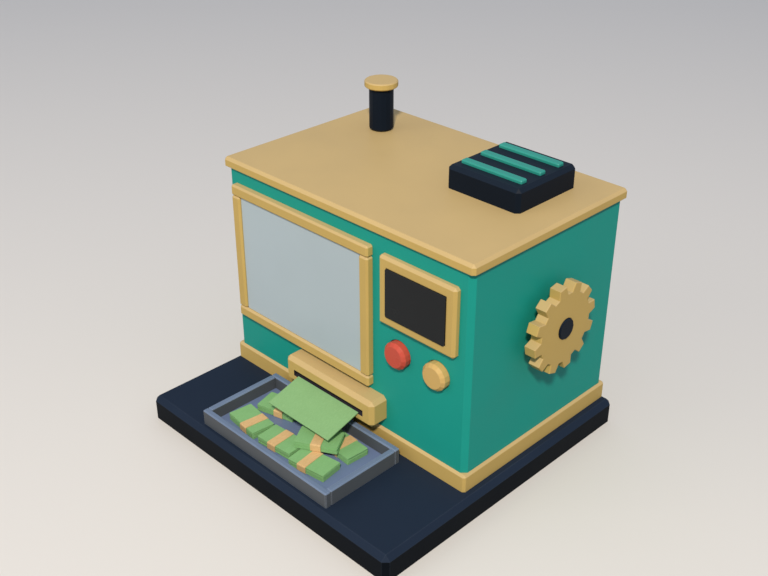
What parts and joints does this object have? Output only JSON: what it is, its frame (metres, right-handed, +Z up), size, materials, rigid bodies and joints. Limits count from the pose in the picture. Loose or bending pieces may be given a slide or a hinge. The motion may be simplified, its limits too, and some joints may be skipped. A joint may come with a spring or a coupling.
{
  "type": "toy banknote machine",
  "caption": "Hand-cranked toy banknote machine: cabinet with window, screen and push buttons on a flat slab, note slot over a tray of banded notes, vent, chimney and hand gear.",
  "frame": {"origin": "centre of the slab's flat underside", "axes": "+Z up, -Y is the front with the window and the note slot, +X is the side with the hand gear"},
  "size_m": [0.2183, 0.2068, 0.1954],
  "materials": {
    "slab_navy": "dark navy satin paint on board",
    "shell_teal": "teal moulded plastic, fine satin grain",
    "trim_tan": "warm tan moulded plastic, satin",
    "charcoal": "charcoal blue plastic, satin",
    "rib_teal": "light teal plastic, satin",
    "pane_frost": "frosted pale blue-grey acrylic",
    "screen_dark": "smoked acrylic, semi-gloss",
    "button_red": "red plastic, semi-gloss",
    "button_gold": "tan-gold plastic, semi-gloss",
    "tray_metal": "blue-grey enamel on sheet steel",
    "tray_rail": "dark blue-grey enamel, edges worn lighter",
    "note_green": "pale green card, uncoated",
    "bundle_green": "green paper, cut edges showing",
    "band_kraft": "kraft paper band",
    "steel": "zinc-plated steel",
    "bush_brass": "turned brass",
    "mech_grey": "grey acetal",
    "mech_white": "natural nylon",
    "roller_rubber": "dark soft-coated plastic"
  },
  "bodies": {
    "machine": {"back_cover": "shell_teal", "band_front_left": "band_kraft", "band_front_middle": "band_kraft", "band_front_right": "band_kraft", "band_on_top": "band_kraft", "band_rear_left": "band_kraft", "band_rear_right": "band_kraft", "base_screw_front_left": "steel", "base_screw_front_right": "steel", "base_screw_rear_left": "steel", "base_screw_rear_right": "steel", "base_slab": "slab_navy", "body_shell": "shell_teal", "bundle_front_left": "bundle_green", "bundle_front_middle": "bundle_green", "bundle_front_right": "bundle_green", "bundle_on_top": "bundle_green", "bundle_rear_left": "bundle_green", "bundle_rear_right": "bundle_green", "button_bracket": "mech_grey", "chimney_cap": "trim_tan", "chimney_stem": "charcoal", "cover_screw_left": "steel", "cover_screw_right": "steel", "gold_button_spring": "steel", "lid": "trim_tan", "mech_plate_left": "mech_grey", "mech_plate_right": "mech_grey", "note_stack": "bundle_green", "paper_guide": "mech_grey", "plinth_frame": "trim_tan", "red_button_spring": "steel", "screen_bezel": "trim_tan", "screen_panel": "screen_dark", "shaft_bush": "bush_brass", "slot_housing": "trim_tan", "tray_floor": "tray_metal", "tray_wall_back": "tray_rail", "tray_wall_front": "tray_rail", "tray_wall_left": "tray_rail", "tray_wall_right": "tray_rail", "vent_box": "charcoal", "vent_rib_front": "rib_teal", "vent_rib_middle": "rib_teal", "vent_rib_rear": "rib_teal", "window_bar_bottom": "trim_tan", "window_bar_left": "trim_tan", "window_bar_right": "trim_tan", "window_bar_top": "trim_tan", "window_pane": "pane_frost"},
    "hand_drive": {"hand_gear": "trim_tan", "gear_hub_cap": "charcoal", "drive_shaft": "steel", "drive_gear": "mech_white"},
    "idler": {"idler_gear": "mech_white"},
    "feed": {"feed_roller": "roller_rubber"},
    "pinch": {"pinch_roller": "roller_rubber"},
    "red_push": {"red_button": "button_red"},
    "gold_push": {"gold_button": "button_gold"},
    "note": {"printed_note": "note_green"}
  },
  "joints": [
    {"name": "gear_spin", "type": "hinge", "parent": "machine", "child": "hand_drive", "pos_m": [0.0979, 0.0338, 0.1014], "axis": [1, 0, 0], "continuous": true},
    {"name": "idler_spin", "type": "hinge", "parent": "machine", "child": "idler", "pos_m": [-0.0021, 0.01599, 0.06337], "axis": [1, 0, 0], "continuous": true},
    {"name": "feed_spin", "type": "hinge", "parent": "machine", "child": "feed", "pos_m": [-0.0021, -0.0118, 0.05705], "axis": [1, 0, 0], "continuous": true},
    {"name": "pinch_spin", "type": "hinge", "parent": "machine", "child": "pinch", "pos_m": [-0.0021, -0.0076, 0.04265], "axis": [1, 0, 0], "continuous": true},
    {"name": "red_press", "type": "slide", "parent": "machine", "child": "red_push", "axis": [0, 1, 0], "range_m": [0, 0.0025], "stiffness_N_per_m": 400, "springref_m": -0.001, "deforming": ["red_button_spring"]},
    {"name": "gold_press", "type": "slide", "parent": "machine", "child": "gold_push", "axis": [0, 1, 0], "range_m": [0, 0.0025], "stiffness_N_per_m": 400, "springref_m": -0.001, "deforming": ["gold_button_spring"]},
    {"name": "note_feed", "type": "slide", "parent": "machine", "child": "note", "axis": [0, 0.9598, 0.2807], "range_m": [0, 0.04]}
  ],
  "couplings": [
    {"joint": "idler_spin", "follows": "gear_spin", "ratio": -1.8},
    {"joint": "feed_spin", "follows": "gear_spin", "ratio": 2},
    {"joint": "pinch_spin", "follows": "gear_spin", "ratio": -2}
  ]
}
